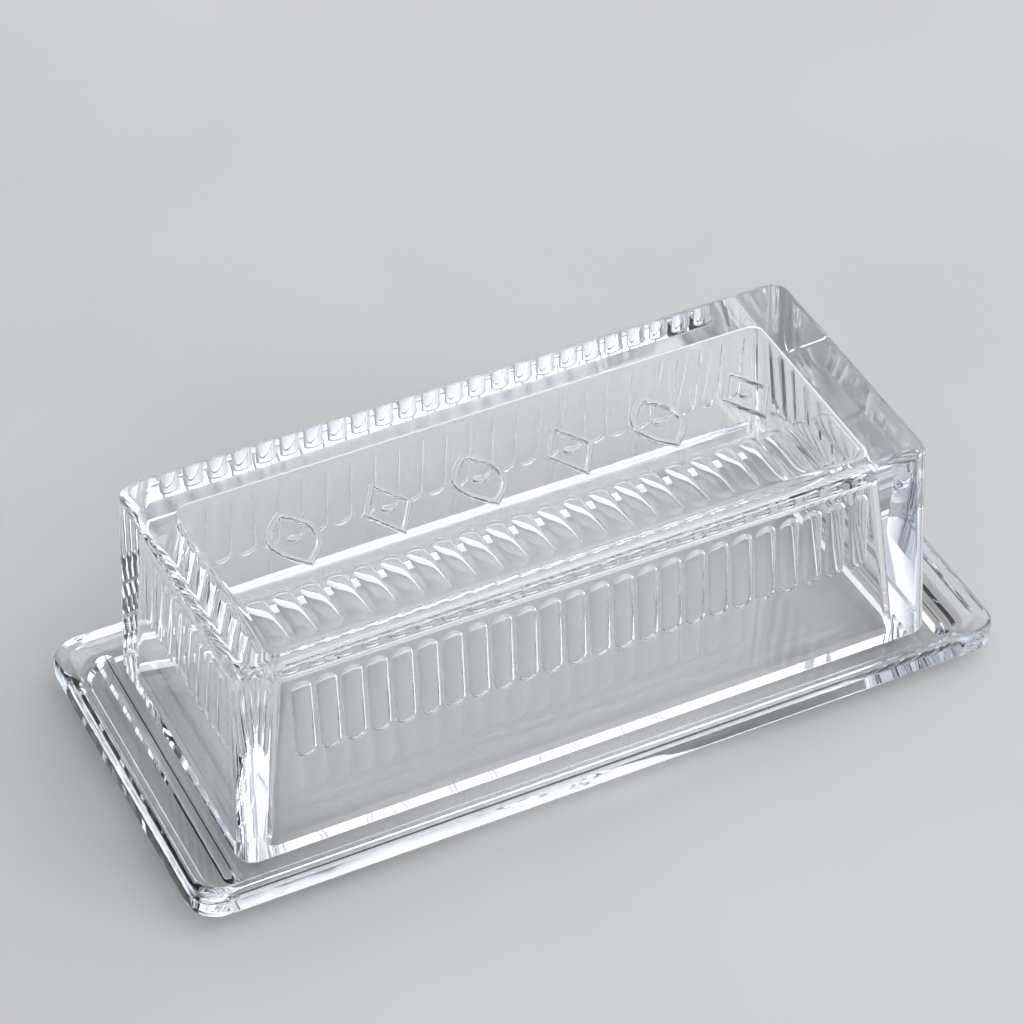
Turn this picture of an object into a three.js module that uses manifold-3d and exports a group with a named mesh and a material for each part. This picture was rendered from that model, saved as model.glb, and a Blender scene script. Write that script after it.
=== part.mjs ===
// Clear pressed-glass butter dish: a rimmed tray, and a thick-walled cover that lifts off it.
// Frame: origin at the centre of the tray's underside, +X along the dish, +Z up, millimetres.
import * as THREE from "three";
import { mergeVertices } from "three/addons/utils/BufferGeometryUtils.js";
import Module from "manifold-3d";

const wasm = await Module();
wasm.setup();

// Tray: a flat floor on a narrower foot, with a raised rim all round. It reaches past the cover's
// foot by a shelf at each end and a shelf along each side.
const END_SHELF = 14.05;
const SIDE_SHELF = 9.05;
const TRAY_CORNER = 7;
const RIM_HEIGHT = 3.2;
const RIM_WIDTH = 3.4;
const RIM_SLOPE = 1.3;
const RIM_ROUND = 1.1;
const EDGE_BOTTOM = 4.2;
const FOOT_INSET = 5.5;
const FOOT_FLARE = 1;
const FOOT_HEIGHT = 1.8;
const FLOOR_TOP = 6.4;

// Raised bars across the tray's ends, which keep the cover from sliding lengthwise.
const BAR_WIDTH = 4.4;
const BAR_HEIGHT = 1.5;
const BAR_ROOT = 1;
const BAR_END_GAP = 1.5;

// Cover: an open-bottomed box. Both faces of its walls widen towards the foot.
const COVER_LENGTH = 165;
const COVER_WIDTH = 68;
const COVER_HEIGHT = 53.3;
const COVER_CORNER = 4;
const COVER_EDGE = 2.5;
const TOP_THICKNESS = 8.7;
const SIDE_WALL = 7.9;
const END_WALL = 10.2;
const OUTER_DRAFT = THREE.MathUtils.degToRad(2.2);
const SIDE_DRAFT = THREE.MathUtils.degToRad(5.2);
const END_DRAFT = THREE.MathUtils.degToRad(6.5);
const CAVITY_CORNER = 3;

// Clearances between the cover and the tray.
const SEAT_GAP = 0.3;
const BAR_CLEARANCE = 0.6;

// Flutes: upright round-ended hollows in the upper half of the cavity's walls.
const FLUTE_PITCH = 5.8;
const FLUTE_WIDTH = 4.8;
const FLUTE_HEIGHT = 20.5;
const FLUTE_DEPTH = 0.6;
const FLUTE_BELOW_CEILING = 2.2;
const FLUTE_MARGIN = 2.5;

// Hollows: a row of round-ended hollows in the ceiling along its front edge, lying across the dish.
const HOLLOW_PITCH = 6.2;
const HOLLOW_WIDTH = 4.9;
const HOLLOW_LENGTH = 16;
const HOLLOW_DEPTH = 0.25;
const HOLLOW_FROM_EDGE = 1.5;
const HOLLOW_MARGIN = 0.5;

// Ornament: a row of raised line figures on the cover's top.
const FIGURE_COUNT = 6;
const FIGURE_PITCH = 21.8;
const FIGURE_LENGTH = 19;
const FIGURE_WIDTH = 12;
const LINE_WIDTH = 1.6;
const LINE_RELIEF = 0.8;
const LINE_ROOT = 0.4;
const STUD_RADIUS = 1.5;

// Straight steps in each arc of the bodies, and in each arc of the flutes and figures.
const ARC_STEPS = 5;
const FINE_STEPS = 4;

const coverFoot = FLOOR_TOP + SEAT_GAP;
const coverTop = coverFoot + COVER_HEIGHT;
const ceiling = coverTop - TOP_THICKNESS;
const shoulder = coverTop - COVER_EDGE;
const coverSpread = Math.tan(OUTER_DRAFT) * (shoulder - coverFoot);
const trayLength = COVER_LENGTH + 2 * (coverSpread + END_SHELF);
const trayWidth = COVER_WIDTH + 2 * (coverSpread + SIDE_SHELF);

// A solid for joining and cutting, from a geometry that is one closed surface.
function solid(geometry) {
  const bare = geometry.clone();
  bare.deleteAttribute("normal");
  bare.deleteAttribute("uv");
  const merged = mergeVertices(bare, 1e-4);
  const mesh = new wasm.Mesh({
    numProp: 3,
    vertProperties: merged.attributes.position.array,
    triVerts: new Uint32Array(merged.index.array),
  });
  return new wasm.Manifold(mesh);
}

// The geometry of a finished solid.
function geometryOf(made) {
  const mesh = made.getMesh();
  const geometry = new THREE.BufferGeometry();
  geometry.setAttribute("position", new THREE.BufferAttribute(mesh.vertProperties, 3));
  geometry.setIndex(new THREE.BufferAttribute(mesh.triVerts, 1));
  geometry.computeVertexNormals();
  return geometry;
}

// A rectangle with rounded corners, centred on the origin.
function roundedRectangle(length, width, radius) {
  const x = length / 2 - radius;
  const y = width / 2 - radius;
  const shape = new THREE.Shape();
  shape.absarc(x, y, radius, 0, Math.PI / 2);
  shape.absarc(-x, y, radius, Math.PI / 2, Math.PI);
  shape.absarc(-x, -y, radius, Math.PI, 1.5 * Math.PI);
  shape.absarc(x, -y, radius, 1.5 * Math.PI, 2 * Math.PI);
  return shape;
}

// A moulded block: the rounded rectangle is repeated at each level, moved out there by growX and
// growY. Levels run upwards.
function moulded({ length, width, radius, levels }) {
  const block = new THREE.ExtrudeGeometry(roundedRectangle(length, width, radius), {
    depth: levels.length - 1,
    steps: levels.length - 1,
    bevelEnabled: false,
    curveSegments: ARC_STEPS,
  });
  const position = block.attributes.position;
  for (let i = 0; i < position.count; i += 1) {
    const { z, growX, growY } = levels[Math.round(position.getZ(i))];
    const x = position.getX(i);
    const y = position.getY(i);
    position.setXYZ(i, x + Math.sign(x) * growX, y + Math.sign(y) * growY, z);
  }
  return solid(block);
}

// One level of a moulded block that grows the same way on all four sides.
function level(z, grow) {
  return { z, growX: grow, growY: grow };
}

// A round-ended bar outline, centred on the origin, its length along Y.
function pill(width, length) {
  const radius = width / 2;
  const straight = length / 2 - radius;
  const shape = new THREE.Shape();
  shape.absarc(0, straight, radius, 0, Math.PI);
  shape.absarc(0, -straight, radius, Math.PI, 2 * Math.PI);
  return shape;
}

// A flat-topped solid from an outline.
function slab(shape, low, high) {
  const made = new THREE.ExtrudeGeometry(shape, {
    depth: high - low,
    bevelEnabled: false,
    curveSegments: FINE_STEPS,
  });
  return made.translate(0, 0, low);
}

// Centres of as many repeats as fit along the given length, less a margin at each end.
function rowCentres(length, pitch, margin) {
  const count = Math.floor((length - 2 * margin) / pitch);
  return Array.from({ length: count }, (_, i) => (i - (count - 1) / 2) * pitch);
}

// The cutter of one hollow in the ceiling.
function hollowCutter(along, across) {
  const shape = pill(HOLLOW_WIDTH, HOLLOW_LENGTH);
  const cutter = slab(shape, ceiling - HOLLOW_DEPTH, ceiling + HOLLOW_DEPTH);
  return solid(cutter.translate(along, across, 0));
}

// The cutter of one flute in the wall that stands at `reach` from the middle under the ceiling
// and slopes outwards below it, turned about Z onto its own side of the cavity.
function fluteCutter({ along, reach, draft, turn }) {
  const middle = FLUTE_BELOW_CEILING + FLUTE_HEIGHT / 2;
  const cutter = slab(pill(FLUTE_WIDTH, FLUTE_HEIGHT), -FLUTE_DEPTH, FLUTE_DEPTH);
  cutter.rotateX(Math.PI / 2 + draft);
  cutter.translate(along, reach + middle * Math.tan(draft), ceiling - middle);
  cutter.rotateZ(turn);
  return solid(cutter);
}

// A pointed oval outline.
function leafOutline(width, length) {
  const shape = new THREE.Shape();
  shape.moveTo(0, -length / 2);
  shape.quadraticCurveTo(width, 0, 0, length / 2);
  shape.quadraticCurveTo(-width, 0, 0, -length / 2);
  return shape;
}

// A diamond outline.
function lozengeOutline(width, length) {
  const shape = new THREE.Shape();
  shape.moveTo(0, -length / 2);
  shape.lineTo(width / 2, 0);
  shape.lineTo(0, length / 2);
  shape.lineTo(-width / 2, 0);
  shape.lineTo(0, -length / 2);
  return shape;
}

// One raised line figure: a leaf or a lozenge outline with a stud in its middle.
function figure(isLeaf, x) {
  const outline = isLeaf ? leafOutline : lozengeOutline;
  const narrow = FIGURE_WIDTH - 2 * LINE_WIDTH;
  const short = FIGURE_LENGTH * (narrow / FIGURE_WIDTH);
  const line = outline(FIGURE_WIDTH, FIGURE_LENGTH);
  line.holes.push(outline(narrow, short));
  const stud = new THREE.Shape();
  stud.absarc(0, 0, STUD_RADIUS, 0, 2 * Math.PI);
  return [line, stud].map((shape) => {
    const raised = slab(shape, coverTop - LINE_ROOT, coverTop + LINE_RELIEF);
    return solid(raised.translate(x, 0, 0));
  });
}

function makeCover() {
  // The outside: a straight drafted wall, then a rounded upper edge.
  const levels = [level(coverFoot, coverSpread)];
  for (let i = 0; i <= ARC_STEPS; i += 1) {
    const angle = (i / ARC_STEPS) * (Math.PI / 2);
    const inset = COVER_EDGE * (1 - Math.cos(angle));
    levels.push(level(shoulder + COVER_EDGE * Math.sin(angle), -inset));
  }
  let cover = moulded({
    length: COVER_LENGTH,
    width: COVER_WIDTH,
    radius: COVER_CORNER,
    levels,
  });

  // The cavity opens through the foot, so its cutter runs on below it.
  const cavityLength = COVER_LENGTH - 2 * END_WALL;
  const cavityWidth = COVER_WIDTH - 2 * SIDE_WALL;
  const below = 1;
  const depth = ceiling - coverFoot + below;
  cover = cover.subtract(
    moulded({
      length: cavityLength,
      width: cavityWidth,
      radius: CAVITY_CORNER,
      levels: [
        {
          z: coverFoot - below,
          growX: depth * Math.tan(END_DRAFT),
          growY: depth * Math.tan(SIDE_DRAFT),
        },
        level(ceiling, 0),
      ],
    }),
  );

  for (const turn of [0, Math.PI]) {
    for (const along of rowCentres(cavityLength, FLUTE_PITCH, FLUTE_MARGIN)) {
      const cutter = fluteCutter({ along, reach: cavityWidth / 2, draft: SIDE_DRAFT, turn });
      cover = cover.subtract(cutter);
    }
    for (const along of rowCentres(cavityWidth, FLUTE_PITCH, FLUTE_MARGIN)) {
      const endTurn = turn + Math.PI / 2;
      const reach = cavityLength / 2;
      const cutter = fluteCutter({ along, reach, draft: END_DRAFT, turn: endTurn });
      cover = cover.subtract(cutter);
    }
  }

  const hollowMiddle = HOLLOW_FROM_EDGE + HOLLOW_LENGTH / 2 - cavityWidth / 2;
  for (const along of rowCentres(cavityLength, HOLLOW_PITCH, HOLLOW_MARGIN)) {
    cover = cover.subtract(hollowCutter(along, hollowMiddle));
  }

  for (let i = 0; i < FIGURE_COUNT; i += 1) {
    const x = (i - (FIGURE_COUNT - 1) / 2) * FIGURE_PITCH;
    for (const raised of figure(i % 2 === 0, x)) {
      cover = cover.add(raised);
    }
  }
  return cover;
}

function makeTray() {
  const rimTop = FLOOR_TOP + RIM_HEIGHT;
  let tray = moulded({
    length: trayLength,
    width: trayWidth,
    radius: TRAY_CORNER,
    levels: [
      level(0, -FOOT_INSET - FOOT_FLARE),
      level(FOOT_HEIGHT, -FOOT_INSET),
      level(EDGE_BOTTOM, 0),
      level(rimTop - RIM_ROUND, 0),
      level(rimTop - 0.3 * RIM_ROUND, -0.3 * RIM_ROUND),
      level(rimTop, -RIM_ROUND),
    ],
  });

  // The sunk floor inside the rim, whose inner side slopes.
  const above = 1;
  tray = tray.subtract(
    moulded({
      length: trayLength - 2 * RIM_WIDTH,
      width: trayWidth - 2 * RIM_WIDTH,
      radius: TRAY_CORNER,
      levels: [
        level(FLOOR_TOP, -RIM_SLOPE),
        level(rimTop, 0),
        level(rimTop + above, 0),
      ],
    }),
  );

  // The end bars stand just outside the cover's foot.
  const barLength = trayWidth - 2 * (RIM_WIDTH + RIM_SLOPE + BAR_END_GAP);
  const barX = COVER_LENGTH / 2 + coverSpread + BAR_CLEARANCE + BAR_WIDTH / 2;
  for (const side of [-1, 1]) {
    const bar = moulded({
      length: BAR_WIDTH,
      width: barLength,
      radius: 0.45 * BAR_WIDTH,
      levels: [
        level(FLOOR_TOP - BAR_ROOT, 0),
        level(FLOOR_TOP + 0.5 * BAR_HEIGHT, -0.04 * BAR_WIDTH),
        level(FLOOR_TOP + BAR_HEIGHT, -0.3 * BAR_WIDTH),
      ],
    });
    tray = tray.add(bar.translate([side * barX, 0, 0]));
  }
  return tray;
}

// A named piece of clear glass.
function glassPiece(name, made, colour) {
  const material = new THREE.MeshStandardMaterial({
    color: colour,
    roughness: 0.05,
    metalness: 0,
  });
  const mesh = new THREE.Mesh(geometryOf(made), material);
  mesh.name = name;
  return mesh;
}

const dish = new THREE.Group();
dish.add(glassPiece("tray", makeTray(), 0xd9dee6));
dish.add(glassPiece("cover", makeCover(), 0xe3e7ee));

export default dish;
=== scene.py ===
"""The looks of a clear pressed-glass butter dish: a rimmed tray under a thick fluted cover."""

import logging
import math
from collections.abc import Iterable
from dataclasses import dataclass, field
from enum import Enum

import bmesh
import bpy
from mathutils import Matrix, Vector


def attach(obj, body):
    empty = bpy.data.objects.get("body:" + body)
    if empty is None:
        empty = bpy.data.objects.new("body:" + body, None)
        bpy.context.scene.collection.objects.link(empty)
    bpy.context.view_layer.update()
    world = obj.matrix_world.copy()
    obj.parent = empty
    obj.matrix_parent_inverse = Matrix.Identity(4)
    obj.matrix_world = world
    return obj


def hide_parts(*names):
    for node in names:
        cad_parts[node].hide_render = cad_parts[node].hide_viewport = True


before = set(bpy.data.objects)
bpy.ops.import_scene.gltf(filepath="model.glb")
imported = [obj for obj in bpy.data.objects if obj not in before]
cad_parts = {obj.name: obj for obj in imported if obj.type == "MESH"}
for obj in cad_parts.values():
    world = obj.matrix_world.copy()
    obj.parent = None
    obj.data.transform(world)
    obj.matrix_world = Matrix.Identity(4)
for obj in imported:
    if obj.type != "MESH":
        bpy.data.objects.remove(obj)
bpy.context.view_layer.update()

LOG = logging.getLogger("butter_dish")
MM = 0.001
CORNER_STEPS = 10
SHARP_ANGLE = 28
WELD = 1e-5
GLASS_BOUNCES = 24
GLOSS_BOUNCES = 12


class Wall(Enum):
    """The four walls of the cover, each with its turn about Z from the far long wall."""

    FAR = 0.0
    LEFT = math.pi / 2
    NEAR = math.pi
    RIGHT = 1.5 * math.pi

    @property
    def is_long(self) -> bool:
        """Whether this is one of the two long walls."""
        return self in (Wall.FAR, Wall.NEAR)


class Motif(Enum):
    """The two raised figures that alternate along the cover's top."""

    LEAF = "leaf"
    LOZENGE = "lozenge"


class Join(Enum):
    """How a second solid changes a piece."""

    CUT = "DIFFERENCE"
    ADD = "UNION"


@dataclass(frozen=True)
class Level:
    """One level of a moulded block.

    Args:
        z: height, in millimetres.
        grow_x: how far the ends move out there, in millimetres.
        grow_y: how far the sides move out there, in millimetres.
    """

    z: float
    grow_x: float
    grow_y: float


def even(z: float, grow: float) -> Level:
    """A level that grows the same way on all four sides."""
    return Level(z, grow, grow)


def mesh_object(name: str, shape: bmesh.types.BMesh) -> bpy.types.Object:
    """Turns a finished bmesh into an object at the origin.

    Args:
        name: the object's name.
        shape: the bmesh, freed here.

    Returns:
        The linked object.
    """
    mesh = bpy.data.meshes.new(name)
    shape.to_mesh(mesh)
    shape.free()
    made = bpy.data.objects.new(name, mesh)
    bpy.context.scene.collection.objects.link(made)
    return made


def row_centres(count: int, pitch: float) -> list[float]:
    """Centres of a row of repeats, spaced evenly about the middle."""
    return [(index - (count - 1) / 2) * pitch for index in range(count)]


def to_metres(shape: bmesh.types.BMesh) -> None:
    """Scales a bmesh from millimetres to metres."""
    bmesh.ops.scale(shape, vec=(MM, MM, MM), verts=shape.verts)


def moulded(
    length: float, width: float, radius: float, levels: list[Level], steps: int = CORNER_STEPS
) -> bmesh.types.BMesh:
    """A closed block with rounded upright edges, whose sides follow a list of levels.

    Args:
        length: size along X before any growth, in millimetres.
        width: size along Y before any growth, in millimetres.
        radius: corner radius in plan, in millimetres.
        levels: the levels from the lowest to the highest.
        steps: straight steps in each rounded corner.

    Returns:
        The closed bmesh, in metres.
    """
    shape = bmesh.new()
    bmesh.ops.create_grid(shape, x_segments=1, y_segments=1, size=0.5)
    bmesh.ops.scale(shape, vec=(length * MM, width * MM, 1), verts=shape.verts)
    bmesh.ops.bevel(
        shape,
        geom=list(shape.verts),
        offset=radius * MM,
        offset_type="OFFSET",
        segments=steps,
        profile=0.5,
        affect="VERTICES",
        material=-1,
    )
    face = next(iter(shape.faces))
    before = Level(0, 0, 0)
    for index, level in enumerate(levels):
        if index:
            face = bmesh.ops.extrude_discrete_faces(shape, faces=[face])["faces"][0]
        for vert in face.verts:
            vert.co.x += math.copysign(1, vert.co.x) * (level.grow_x - before.grow_x) * MM
            vert.co.y += math.copysign(1, vert.co.y) * (level.grow_y - before.grow_y) * MM
            vert.co.z = level.z * MM
        before = level
    bmesh.ops.holes_fill(shape, edges=[edge for edge in shape.edges if edge.is_boundary])
    bmesh.ops.recalc_face_normals(shape, faces=list(shape.faces))
    return shape


def rounded_edge(top: float, radius: float, steps: int = 7) -> list[Level]:
    """The levels of a quarter-round upper edge.

    Args:
        top: height of the flat above the edge, in millimetres.
        radius: the edge's radius, in millimetres.
        steps: straight steps in the quarter round.

    Returns:
        The levels from the edge's foot to its top.
    """
    turns = [math.pi / 2 * step / steps for step in range(steps + 1)]
    return [
        even(top - radius + radius * math.sin(turn), radius * (math.cos(turn) - 1)) for turn in turns
    ]


def joined(shapes: Iterable[bmesh.types.BMesh]) -> bmesh.types.BMesh:
    """Puts several bmeshes into one, and frees them."""
    whole = bmesh.new()
    for shape in shapes:
        mesh = bpy.data.meshes.new("part")
        shape.to_mesh(mesh)
        shape.free()
        whole.from_mesh(mesh)
        bpy.data.meshes.remove(mesh)
    return whole


def combine(piece: bpy.types.Object, other: bmesh.types.BMesh, join: Join) -> None:
    """Cuts a solid out of a piece, or adds it.

    Args:
        piece: the object that changes.
        other: the second solid, freed here.
        join: whether it is cut out or added.
    """
    tool = mesh_object("tool", other)
    modifier = piece.modifiers.new("join", "BOOLEAN")
    modifier.operation = join.value
    modifier.solver = "EXACT"
    modifier.object = tool
    depsgraph = bpy.context.evaluated_depsgraph_get()
    result = bpy.data.meshes.new_from_object(piece.evaluated_get(depsgraph))
    piece.modifiers.clear()
    old = piece.data
    piece.data = result
    result.name = piece.name
    bpy.data.meshes.remove(old)
    bpy.data.objects.remove(tool)


def finish_surface(piece: bpy.types.Object) -> None:
    """Shades a piece smooth up to its sharp edges, with flats kept flat."""
    piece.data.shade_smooth()
    piece.data.set_sharp_from_angle(angle=math.radians(SHARP_ANGLE))
    modifier = piece.modifiers.new("even shading", "WEIGHTED_NORMAL")
    modifier.keep_sharp = True
    modifier.weight = 100


def dress(piece: bpy.types.Object, finish: bpy.types.Material) -> None:
    """Gives a piece its one finish."""
    piece.data.materials.clear()
    piece.data.materials.append(finish)


@dataclass(frozen=True)
class PressedGlass:
    """Clear pressed glass, with the faint unevenness that a mould leaves.

    Args:
        name: the material's name.
        tint: colour of the glass.
        density: how fast the glass takes up light, per metre.
        index: refractive index.
        unevenness: height of the slow waves on the surface, in millimetres.
        wave_scale: how close together the waves are.
        along: how much longer the waves are along the dish, as a share below 1.
    """

    name: str
    tint: tuple[float, float, float] = (0.72, 0.82, 0.95)
    density: float = 3.0
    index: float = 1.52
    unevenness: float = 0.02
    wave_scale: float = 70
    along: float = 0.45

    def make(self) -> bpy.types.Material:
        """Builds the node material.

        Returns:
            The material.
        """
        material = bpy.data.materials.new(self.name)
        material.use_nodes = True
        nodes = material.node_tree.nodes
        links = material.node_tree.links
        shader = nodes["Principled BSDF"]
        shader.inputs["Base Color"].default_value = (1, 1, 1, 1)
        shader.inputs["Transmission Weight"].default_value = 1.0
        shader.inputs["IOR"].default_value = self.index
        shader.inputs["Roughness"].default_value = 0.0
        absorb = nodes.new("ShaderNodeVolumeAbsorption")
        absorb.inputs["Color"].default_value = (*self.tint, 1)
        absorb.inputs["Density"].default_value = self.density
        links.new(absorb.outputs["Volume"], nodes["Material Output"].inputs["Volume"])
        place = nodes.new("ShaderNodeTexCoord")
        stretch = nodes.new("ShaderNodeMapping")
        stretch.inputs["Scale"].default_value = (self.along, 1, 1)
        slow = nodes.new("ShaderNodeTexNoise")
        slow.inputs["Scale"].default_value = self.wave_scale
        slow.inputs["Detail"].default_value = 2
        bump = nodes.new("ShaderNodeBump")
        bump.inputs["Strength"].default_value = 1.0
        bump.inputs["Distance"].default_value = self.unevenness * MM
        links.new(place.outputs["Object"], stretch.inputs["Vector"])
        links.new(stretch.outputs["Vector"], slow.inputs["Vector"])
        links.new(slow.outputs["Fac"], bump.inputs["Height"])
        links.new(bump.outputs["Normal"], shader.inputs["Normal"])
        return material


@dataclass(frozen=True)
class PaleFloor:
    """A plain pale matt floor with faint cloudy variation, and painted light under the dish.

    Args:
        name: the material's name.
        dark: the darker shade of the cloud.
        light: the lighter shade of the cloud.
        middle: the painted light under the dish, a lighter shade that stands in for the light that the
            glass gathers there.
        reach: how far the painted light under the dish reaches along and across the dish, in metres.
    """

    name: str = "pale floor"
    dark: tuple[float, float, float] = (0.38, 0.38, 0.37)
    light: tuple[float, float, float] = (0.44, 0.44, 0.43)
    middle: tuple[float, float, float] = (0.82, 0.82, 0.82)
    reach: tuple[float, float] = (0.11, 0.051)

    def make(self) -> bpy.types.Material:
        """Builds the node material.

        Returns:
            The material.
        """
        material = bpy.data.materials.new(self.name)
        material.use_nodes = True
        nodes = material.node_tree.nodes
        links = material.node_tree.links
        shader = nodes["Principled BSDF"]
        shader.inputs["Roughness"].default_value = 0.7
        place = nodes.new("ShaderNodeTexCoord")
        cloud = nodes.new("ShaderNodeTexNoise")
        cloud.inputs["Scale"].default_value = 5
        cloud.inputs["Detail"].default_value = 3
        shade = nodes.new("ShaderNodeValToRGB")
        low, high = shade.color_ramp.elements
        low.color, low.position = (*self.dark, 1), 0.3
        high.color, high.position = (*self.light, 1), 0.7
        # Painted light: a soft pale patch under the dish stands in for the light that the glass
        # gathers on the floor.
        shrink = nodes.new("ShaderNodeMapping")
        shrink.inputs["Scale"].default_value = (1 / self.reach[0], 1 / self.reach[1], 1)
        painted_light_spot = nodes.new("ShaderNodeTexGradient")
        painted_light_spot.gradient_type = "SPHERICAL"
        painted_light_falloff = nodes.new("ShaderNodeMapRange")
        painted_light_falloff.interpolation_type = "SMOOTHSTEP"
        painted_light_falloff.inputs["From Max"].default_value = 0.45
        painted_light_mix = nodes.new("ShaderNodeMix")
        painted_light_mix.data_type = "RGBA"
        painted_light_mix.inputs["B"].default_value = (*self.middle, 1)
        links.new(place.outputs["Object"], cloud.inputs["Vector"])
        links.new(cloud.outputs["Fac"], shade.inputs["Fac"])
        links.new(place.outputs["Object"], shrink.inputs["Vector"])
        links.new(shrink.outputs["Vector"], painted_light_spot.inputs["Vector"])
        links.new(painted_light_spot.outputs["Fac"], painted_light_falloff.inputs["Value"])
        links.new(painted_light_falloff.outputs["Result"], painted_light_mix.inputs["Factor"])
        links.new(shade.outputs["Color"], painted_light_mix.inputs["A"])
        links.new(painted_light_mix.outputs["Result"], shader.inputs["Base Color"])
        return material


def hollow_tool(
    length: float, width: float, depth: float, lens: float, fullness: float
) -> bmesh.types.BMesh:
    """The cutter of one round-ended hollow, its length along Z and its depth along +Y.

    Args:
        length: the hollow's length, in millimetres.
        width: its width where it meets the face, in millimetres.
        depth: its depth below the face, in millimetres.
        lens: half the cutter's own greatest width, which sets how steep the hollow's edge is.
        fullness: 1 for a round bottom, and less for a flatter one.

    Returns:
        The bmesh, in millimetres, centred on the face.
    """
    shape = bmesh.new()
    bmesh.ops.create_uvsphere(shape, u_segments=28, v_segments=15, radius=1)
    for vert in shape.verts:
        vert.co.y = math.copysign(abs(vert.co.y) ** fullness, vert.co.y)
    share = math.sqrt(1 - (width / 2 / lens) ** 2) ** fullness
    thick = depth / (1 - share)
    bmesh.ops.scale(shape, vec=(lens, thick, lens), verts=shape.verts)
    straight = (length - width) / 2
    for sign in (-1, 1):
        half = [vert for vert in shape.verts if vert.co.z * sign > 0]
        bmesh.ops.translate(shape, vec=(0, depth - thick, sign * straight), verts=half)
    return shape


@dataclass
class Flutes:
    """A row of upright round-ended hollows on the inside of a wall, in millimetres."""

    pitch: float = 5.8
    width: float = 4.8
    height: float = 20.5
    depth: float = 0.6
    below_ceiling: float = 2.2
    margin: float = 2.5
    lens: float = 2.6
    fullness: float = 0.8

    def wall_row(
        self, wall: Wall, length: float, reach: float, draft: float, ceiling: float
    ) -> list[bmesh.types.BMesh]:
        """The cutters of all the flutes on one wall.

        Args:
            wall: which wall they are on.
            length: the wall's length under the ceiling.
            reach: distance from the middle of the dish to the wall under the ceiling.
            draft: the wall's slope, in degrees.
            ceiling: the ceiling's height.

        Returns:
            One bmesh for each flute, in metres.
        """
        middle = self.below_ceiling + self.height / 2
        slope = math.radians(draft)
        outward = reach + middle * math.tan(slope)
        count = int((length - 2 * self.margin) // self.pitch)
        made = []
        for along in row_centres(count, self.pitch):
            shape = hollow_tool(self.height, self.width, self.depth, self.lens, self.fullness)
            bmesh.ops.rotate(shape, matrix=Matrix.Rotation(slope, 3, "X"), verts=shape.verts)
            bmesh.ops.translate(shape, vec=(along, outward, ceiling - middle), verts=shape.verts)
            bmesh.ops.rotate(shape, matrix=Matrix.Rotation(wall.value, 3, "Z"), verts=shape.verts)
            to_metres(shape)
            made.append(shape)
        return made


@dataclass
class CeilingHollows:
    """A row of round-ended hollows along the ceiling's front edge, in millimetres."""

    count: int = 23
    pitch: float = 6.2
    length: float = 16
    width: float = 4.9
    depth: float = 0.32
    lens: float = 2.6
    fullness: float = 0.6
    from_edge: float = 1.5

    def row(self, half_width: float, ceiling: float) -> bmesh.types.BMesh:
        """The cutters of the row.

        Args:
            half_width: distance from the middle to the ceiling's long edge.
            ceiling: the ceiling's height.

        Returns:
            One bmesh of separate closed solids, in metres.
        """
        shapes = []
        across = half_width - self.from_edge - self.length / 2
        upwards = Matrix.Rotation(math.pi / 2, 3, "X")
        for along in row_centres(self.count, self.pitch):
            shape = hollow_tool(self.length, self.width, self.depth, self.lens, self.fullness)
            bmesh.ops.rotate(shape, matrix=upwards, verts=shape.verts)
            bmesh.ops.translate(shape, vec=(along, -across, ceiling), verts=shape.verts)
            to_metres(shape)
            shapes.append(shape)
        return joined(shapes)


@dataclass
class Ornament:
    """A row of raised line figures on the cover's top, in millimetres."""

    count: int = 6
    pitch: float = 21.8
    length: float = 19
    width: float = 12
    line: float = 1.6
    relief: float = 0.8
    root: float = 0.4
    stud: float = 1.5
    bead_steps: int = 10
    outline_steps: int = 96

    def ring(self, motif: Motif) -> bmesh.types.BMesh:
        """The closed outline of one figure, as a raised bead.

        Args:
            motif: which figure.

        Returns:
            The bead's bmesh, in millimetres, about the origin.
        """
        taper = 1 if motif is Motif.LEAF else 2
        shape = bmesh.new()
        for index in range(self.bead_steps + 1):
            turn = math.pi * index / self.bead_steps
            out = (self.width - self.line + self.line * math.cos(turn)) / 2
            shape.verts.new((out, 0, self.relief * math.sin(turn)))
        shape.verts.new((self.width / 2 - self.line, 0, -self.root))
        shape.verts.new((self.width / 2, 0, -self.root))
        section = list(shape.verts)
        for first, second in zip(section, section[1:] + section[:1]):
            shape.edges.new((first, second))
        bmesh.ops.spin(
            shape,
            geom=list(shape.verts) + list(shape.edges),
            axis=(0, 0, 1),
            angle=2 * math.pi,
            steps=self.outline_steps,
            use_merge=True,
        )
        bmesh.ops.remove_doubles(shape, verts=shape.verts, dist=WELD)
        for vert in shape.verts:
            out = math.hypot(vert.co.x, vert.co.y)
            across, along = vert.co.x / out, vert.co.y / out
            vert.co.x = out * math.copysign(across**2, across)
            reach = out * self.length / self.width
            vert.co.y = reach * math.copysign(abs(along) ** taper, along)
        return shape

    def boss(self) -> bmesh.types.BMesh:
        """The low round stud in the middle of a figure, in millimetres about the origin."""
        shape = bmesh.new()
        bmesh.ops.create_uvsphere(shape, u_segments=24, v_segments=13, radius=1)
        bmesh.ops.scale(shape, vec=(self.stud, self.stud, self.relief), verts=shape.verts)
        return shape

    def row(self, top: float) -> list[bmesh.types.BMesh]:
        """All the figures in place on the cover's top.

        Args:
            top: height of the cover's top.

        Returns:
            The outlines in one bmesh and the studs in another, in metres.
        """
        motifs = list(Motif)
        rings, studs = [], []
        for index, along in enumerate(row_centres(self.count, self.pitch)):
            rings.append(self.ring(motifs[index % len(motifs)]))
            studs.append(self.boss())
            for shape in (rings[-1], studs[-1]):
                bmesh.ops.translate(shape, vec=(along, 0, top), verts=shape.verts)
                to_metres(shape)
                bmesh.ops.recalc_face_normals(shape, faces=list(shape.faces))
        return [joined(rings), joined(studs)]


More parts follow.
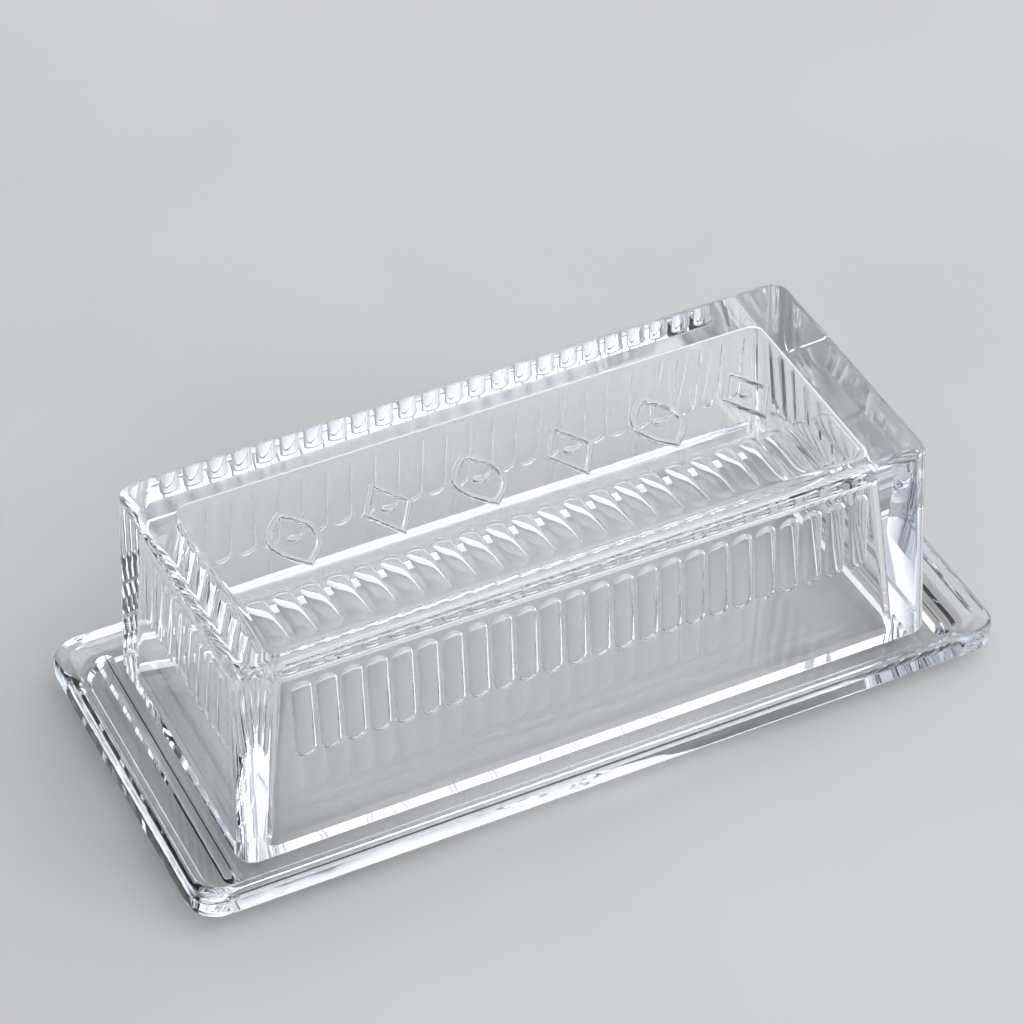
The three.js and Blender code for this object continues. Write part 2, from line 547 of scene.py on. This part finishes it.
@dataclass
class Cover:
    """The thick-walled cover, open underneath. Sizes are in millimetres, slopes in degrees."""

    length: float = 165
    width: float = 68
    foot: float = 6.7
    top: float = 60
    corner: float = 4
    edge: float = 2.5
    top_thickness: float = 8.7
    side_wall: float = 7.9
    end_wall: float = 10.2
    outer_draft: float = 2.2
    side_draft: float = 5.2
    end_draft: float = 6.5
    cavity_corner: float = 3
    ceiling_edge: float = 1.1
    foot_round: float = 0.6
    flutes: Flutes = field(default_factory=Flutes)
    hollows: CeilingHollows = field(default_factory=CeilingHollows)
    ornament: Ornament = field(default_factory=Ornament)

    @property
    def ceiling(self) -> float:
        """Height of the ceiling of the cavity."""
        return self.top - self.top_thickness

    @property
    def cavity_length(self) -> float:
        """Length of the cavity at its ceiling."""
        return self.length - 2 * self.end_wall

    @property
    def cavity_width(self) -> float:
        """Width of the cavity at its ceiling."""
        return self.width - 2 * self.side_wall

    def outside(self) -> bmesh.types.BMesh:
        """The solid outer shape."""
        spread = math.tan(math.radians(self.outer_draft)) * (self.top - self.edge - self.foot)
        soft = self.foot_round
        levels = [
            even(self.foot, spread - soft),
            even(self.foot + soft * 0.3, spread - soft * 0.3),
            even(self.foot + soft, spread),
            *rounded_edge(self.top, self.edge),
        ]
        return moulded(self.length, self.width, self.corner, levels)

    def cavity(self) -> bmesh.types.BMesh:
        """The solid that the cavity takes away."""
        below = 2.0
        depth = self.ceiling - self.ceiling_edge - self.foot + below
        foot = Level(
            self.foot - below,
            depth * math.tan(math.radians(self.end_draft)),
            depth * math.tan(math.radians(self.side_draft)),
        )
        levels = [foot, *rounded_edge(self.ceiling, self.ceiling_edge, steps=4)]
        return moulded(self.cavity_length, self.cavity_width, self.cavity_corner, levels)

    def flute_tools(self) -> bmesh.types.BMesh:
        """The cutters of the flutes on all four walls."""
        shapes = []
        for wall in Wall:
            if wall.is_long:
                length, reach, draft = self.cavity_length, self.cavity_width / 2, self.side_draft
            else:
                length, reach, draft = self.cavity_width, self.cavity_length / 2, self.end_draft
            shapes += self.flutes.wall_row(wall, length, reach, draft, self.ceiling)
        return joined(shapes)

    def build(self) -> bpy.types.Object:
        """Makes the cover as one closed piece.

        Returns:
            The cover, riding on its body.
        """
        piece = mesh_object("glass_cover", self.outside())
        combine(piece, self.cavity(), Join.CUT)
        combine(piece, self.flute_tools(), Join.CUT)
        combine(piece, self.hollows.row(self.cavity_width / 2, self.ceiling), Join.CUT)
        for raised in self.ornament.row(self.top):
            combine(piece, raised, Join.ADD)
        finish_surface(piece)
        dress(piece, PressedGlass("cover glass").make())
        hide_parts("cover")
        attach(piece, "cover")
        LOG.info("cover: %d faces", len(piece.data.polygons))
        return piece


@dataclass
class Tray:
    """The rimmed tray. Sizes are in millimetres."""

    length: float = 197
    width: float = 90
    corner: float = 7
    rim_height: float = 3.2
    rim_width: float = 3.4
    rim_slope: float = 1.3
    rim_round: float = 1.5
    floor_round: float = 0.8
    edge_bottom: float = 4.2
    foot_inset: float = 5.5
    foot_flare: float = 1
    foot_height: float = 1.8
    floor_top: float = 6.4
    bar_width: float = 4.4
    bar_height: float = 1.5
    bar_from_middle: float = 87.2
    bar_end_gap: float = 1.5
    bar_root: float = 1
    bar_steps: int = 6

    def outside(self) -> bmesh.types.BMesh:
        """The solid outer shape, with a rounded rim."""
        top = self.floor_top + self.rim_height
        inset = self.foot_inset
        levels = [
            even(0, -inset - self.foot_flare),
            even(0.15, -inset - self.foot_flare * 0.7),
            even(self.foot_height, -inset),
            even(self.foot_height + 0.3, -inset + 0.7),
            even(self.edge_bottom - 0.2, -0.6),
            even(self.edge_bottom + 0.2, -0.15),
            even(self.edge_bottom + 0.7, 0),
            *rounded_edge(top, self.rim_round),
        ]
        return moulded(self.length, self.width, self.corner, levels)

    def recess(self) -> bmesh.types.BMesh:
        """The solid that the sunk floor takes away."""
        top = self.floor_top + self.rim_height
        soft = self.floor_round
        levels = [
            even(self.floor_top, -self.rim_slope - soft),
            even(self.floor_top + soft * 0.3, -self.rim_slope - soft * 0.3),
            even(self.floor_top + soft, -self.rim_slope),
            even(top - soft, -soft * 0.4),
            even(top - soft * 0.3, 0),
            even(top + 0.05, soft * 0.8),
            even(top + 2, soft * 0.8),
        ]
        length = self.length - 2 * self.rim_width
        width = self.width - 2 * self.rim_width
        return moulded(length, width, self.corner - 1, levels)

    def bars(self) -> bmesh.types.BMesh:
        """The two raised bars that the cover stands between."""
        length = self.width - 2 * (self.rim_width + self.rim_slope + self.bar_end_gap)
        corner = self.bar_width * 0.45
        levels = [even(self.floor_top - self.bar_root, 0)]
        for step in range(self.bar_steps + 1):
            drop = 1 - step / self.bar_steps
            height = self.bar_height * (1 - drop**2)
            levels.append(even(self.floor_top + height, -corner * (1 - drop)))
        shapes = []
        for side in (-1, 1):
            shape = moulded(self.bar_width, length, corner, levels, steps=8)
            bmesh.ops.translate(shape, vec=(side * self.bar_from_middle * MM, 0, 0), verts=shape.verts)
            shapes.append(shape)
        return joined(shapes)

    def build(self) -> bpy.types.Object:
        """Makes the tray as one closed piece.

        Returns:
            The tray, riding on its body.
        """
        piece = mesh_object("glass_tray", self.outside())
        combine(piece, self.recess(), Join.CUT)
        combine(piece, self.bars(), Join.ADD)
        finish_surface(piece)
        dress(piece, PressedGlass("tray glass").make())
        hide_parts("tray")
        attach(piece, "tray")
        LOG.info("tray: %d faces", len(piece.data.polygons))
        return piece


@dataclass
class Studio:
    """A pale floor under soft light, in metres."""

    floor_size: float = 6.0
    floor_drop: float = 0.0003
    brightest: tuple[float, float, float] = (0.5, -0.45, 0.7)
    sky_low: float = 0.85
    sky_high: float = 2.2
    sky_left: tuple[float, float, float] = (0.48, 0.52, 0.60)
    sky_right: tuple[float, float, float] = (0.96, 0.97, 1.0)
    key_place: tuple[float, float, float] = (0.9, -0.8, 1.3)
    key_size: float = 1.2
    key_power: float = 7
    aim: tuple[float, float, float] = (0, 0, 0.03)

    def floor(self) -> None:
        """Lays the floor, a hair below the dish."""
        shape = bmesh.new()
        bmesh.ops.create_grid(shape, x_segments=1, y_segments=1, size=self.floor_size / 2)
        bmesh.ops.translate(shape, vec=(0, 0, -self.floor_drop), verts=shape.verts)
        made = mesh_object("floor", shape)
        dress(made, PaleFloor().make())

    def softbox(self) -> None:
        """Hangs one square soft light that faces the dish."""
        light = bpy.data.lights.new("key light", "AREA")
        light.shape = "SQUARE"
        light.size = self.key_size
        light.energy = self.key_power
        made = bpy.data.objects.new("key light", light)
        bpy.context.scene.collection.objects.link(made)
        made.location = self.key_place
        towards = Vector(self.aim) - Vector(self.key_place)
        made.rotation_euler = towards.to_track_quat("-Z", "Y").to_euler()

    def sky(self) -> None:
        """Surrounds the dish with pale light, brightest high in front on the right."""
        world = bpy.data.worlds.new("studio")
        world.use_nodes = True
        nodes = world.node_tree.nodes
        links = world.node_tree.links
        background = nodes["Background"]
        place = nodes.new("ShaderNodeTexCoord")
        split = nodes.new("ShaderNodeSeparateXYZ")
        shade = nodes.new("ShaderNodeValToRGB")
        left, right = shade.color_ramp.elements
        left.color, left.position = (*self.sky_left, 1), 0.1
        right.color, right.position = (*self.sky_right, 1), 0.6
        spread = nodes.new("ShaderNodeMapRange")
        spread.inputs["From Min"].default_value = -1
        spread.inputs["From Max"].default_value = 1
        links.new(place.outputs["Generated"], split.inputs["Vector"])
        links.new(split.outputs["X"], spread.inputs["Value"])
        links.new(spread.outputs["Result"], shade.inputs["Fac"])
        links.new(shade.outputs["Color"], background.inputs["Color"])
        facing = nodes.new("ShaderNodeVectorMath")
        facing.operation = "DOT_PRODUCT"
        facing.inputs[1].default_value = Vector(self.brightest).normalized()
        glow = nodes.new("ShaderNodeMapRange")
        glow.interpolation_type = "SMOOTHSTEP"
        glow.inputs["From Min"].default_value = 0.1
        glow.inputs["From Max"].default_value = 0.95
        glow.inputs["To Min"].default_value = self.sky_low
        glow.inputs["To Max"].default_value = self.sky_high
        links.new(place.outputs["Generated"], facing.inputs[0])
        links.new(facing.outputs["Value"], glow.inputs["Value"])
        links.new(glow.outputs["Result"], background.inputs["Strength"])
        bpy.context.scene.world = world

    def build(self) -> None:
        """Sets out the floor and the lights."""
        self.floor()
        self.sky()
        self.softbox()
        LOG.info("studio: floor, sky and a softbox")


@dataclass
class Viewpoint:
    """The camera: a long lens looking down across the near long side.

    Args:
        azimuth: turn about Z from looking along +Y, in degrees.
        elevation: how far it looks down, in degrees.
        roll: turn about its own axis, in degrees.
        distance: distance from the target, in millimetres.
        target: the point in the middle of the view, in millimetres.
        lens: focal length, in millimetres.
        sensor: width of the sensor, in millimetres.
    """

    azimuth: float = 25.9
    elevation: float = 41.4
    roll: float = -0.19
    distance: float = 859.96
    target: tuple[float, float, float] = (5.67, 18.07, 30.0)
    lens: float = 133.86
    sensor: float = 36

    def build(self) -> None:
        """Sets up the camera."""
        turn, rise = math.radians(self.azimuth), math.radians(self.elevation)
        level = math.cos(rise)
        ahead = Vector((math.sin(turn) * level, math.cos(turn) * level, -math.sin(rise)))
        right = Vector((math.cos(turn), -math.sin(turn), 0))
        above = right.cross(ahead)
        roll = math.radians(self.roll)
        right, above = (
            math.cos(roll) * right + math.sin(roll) * above,
            math.cos(roll) * above - math.sin(roll) * right,
        )
        camera = bpy.data.cameras.new("camera")
        camera.lens = self.lens
        camera.sensor_width = self.sensor
        camera.clip_start = 0.01
        made = bpy.data.objects.new("camera", camera)
        bpy.context.scene.collection.objects.link(made)
        turn_matrix = Matrix((right, above, -ahead)).transposed().to_4x4()
        where = (Vector(self.target) - self.distance * ahead) * MM
        made.matrix_world = Matrix.Translation(where) @ turn_matrix
        bpy.context.scene.camera = made


def main() -> None:
    """Builds the dish piece by piece, dresses it, and sets out the studio."""
    logging.basicConfig(level=logging.INFO, format="%(name)s: %(message)s")
    Viewpoint().build()
    Studio().build()
    Cover().build()
    Tray().build()
    bpy.context.scene.view_settings.view_transform = "Standard"
    trace = bpy.context.scene.cycles
    trace.max_bounces = GLASS_BOUNCES
    trace.transmission_bounces = GLASS_BOUNCES
    trace.glossy_bounces = GLOSS_BOUNCES


if __name__ == "__main__":
    main()
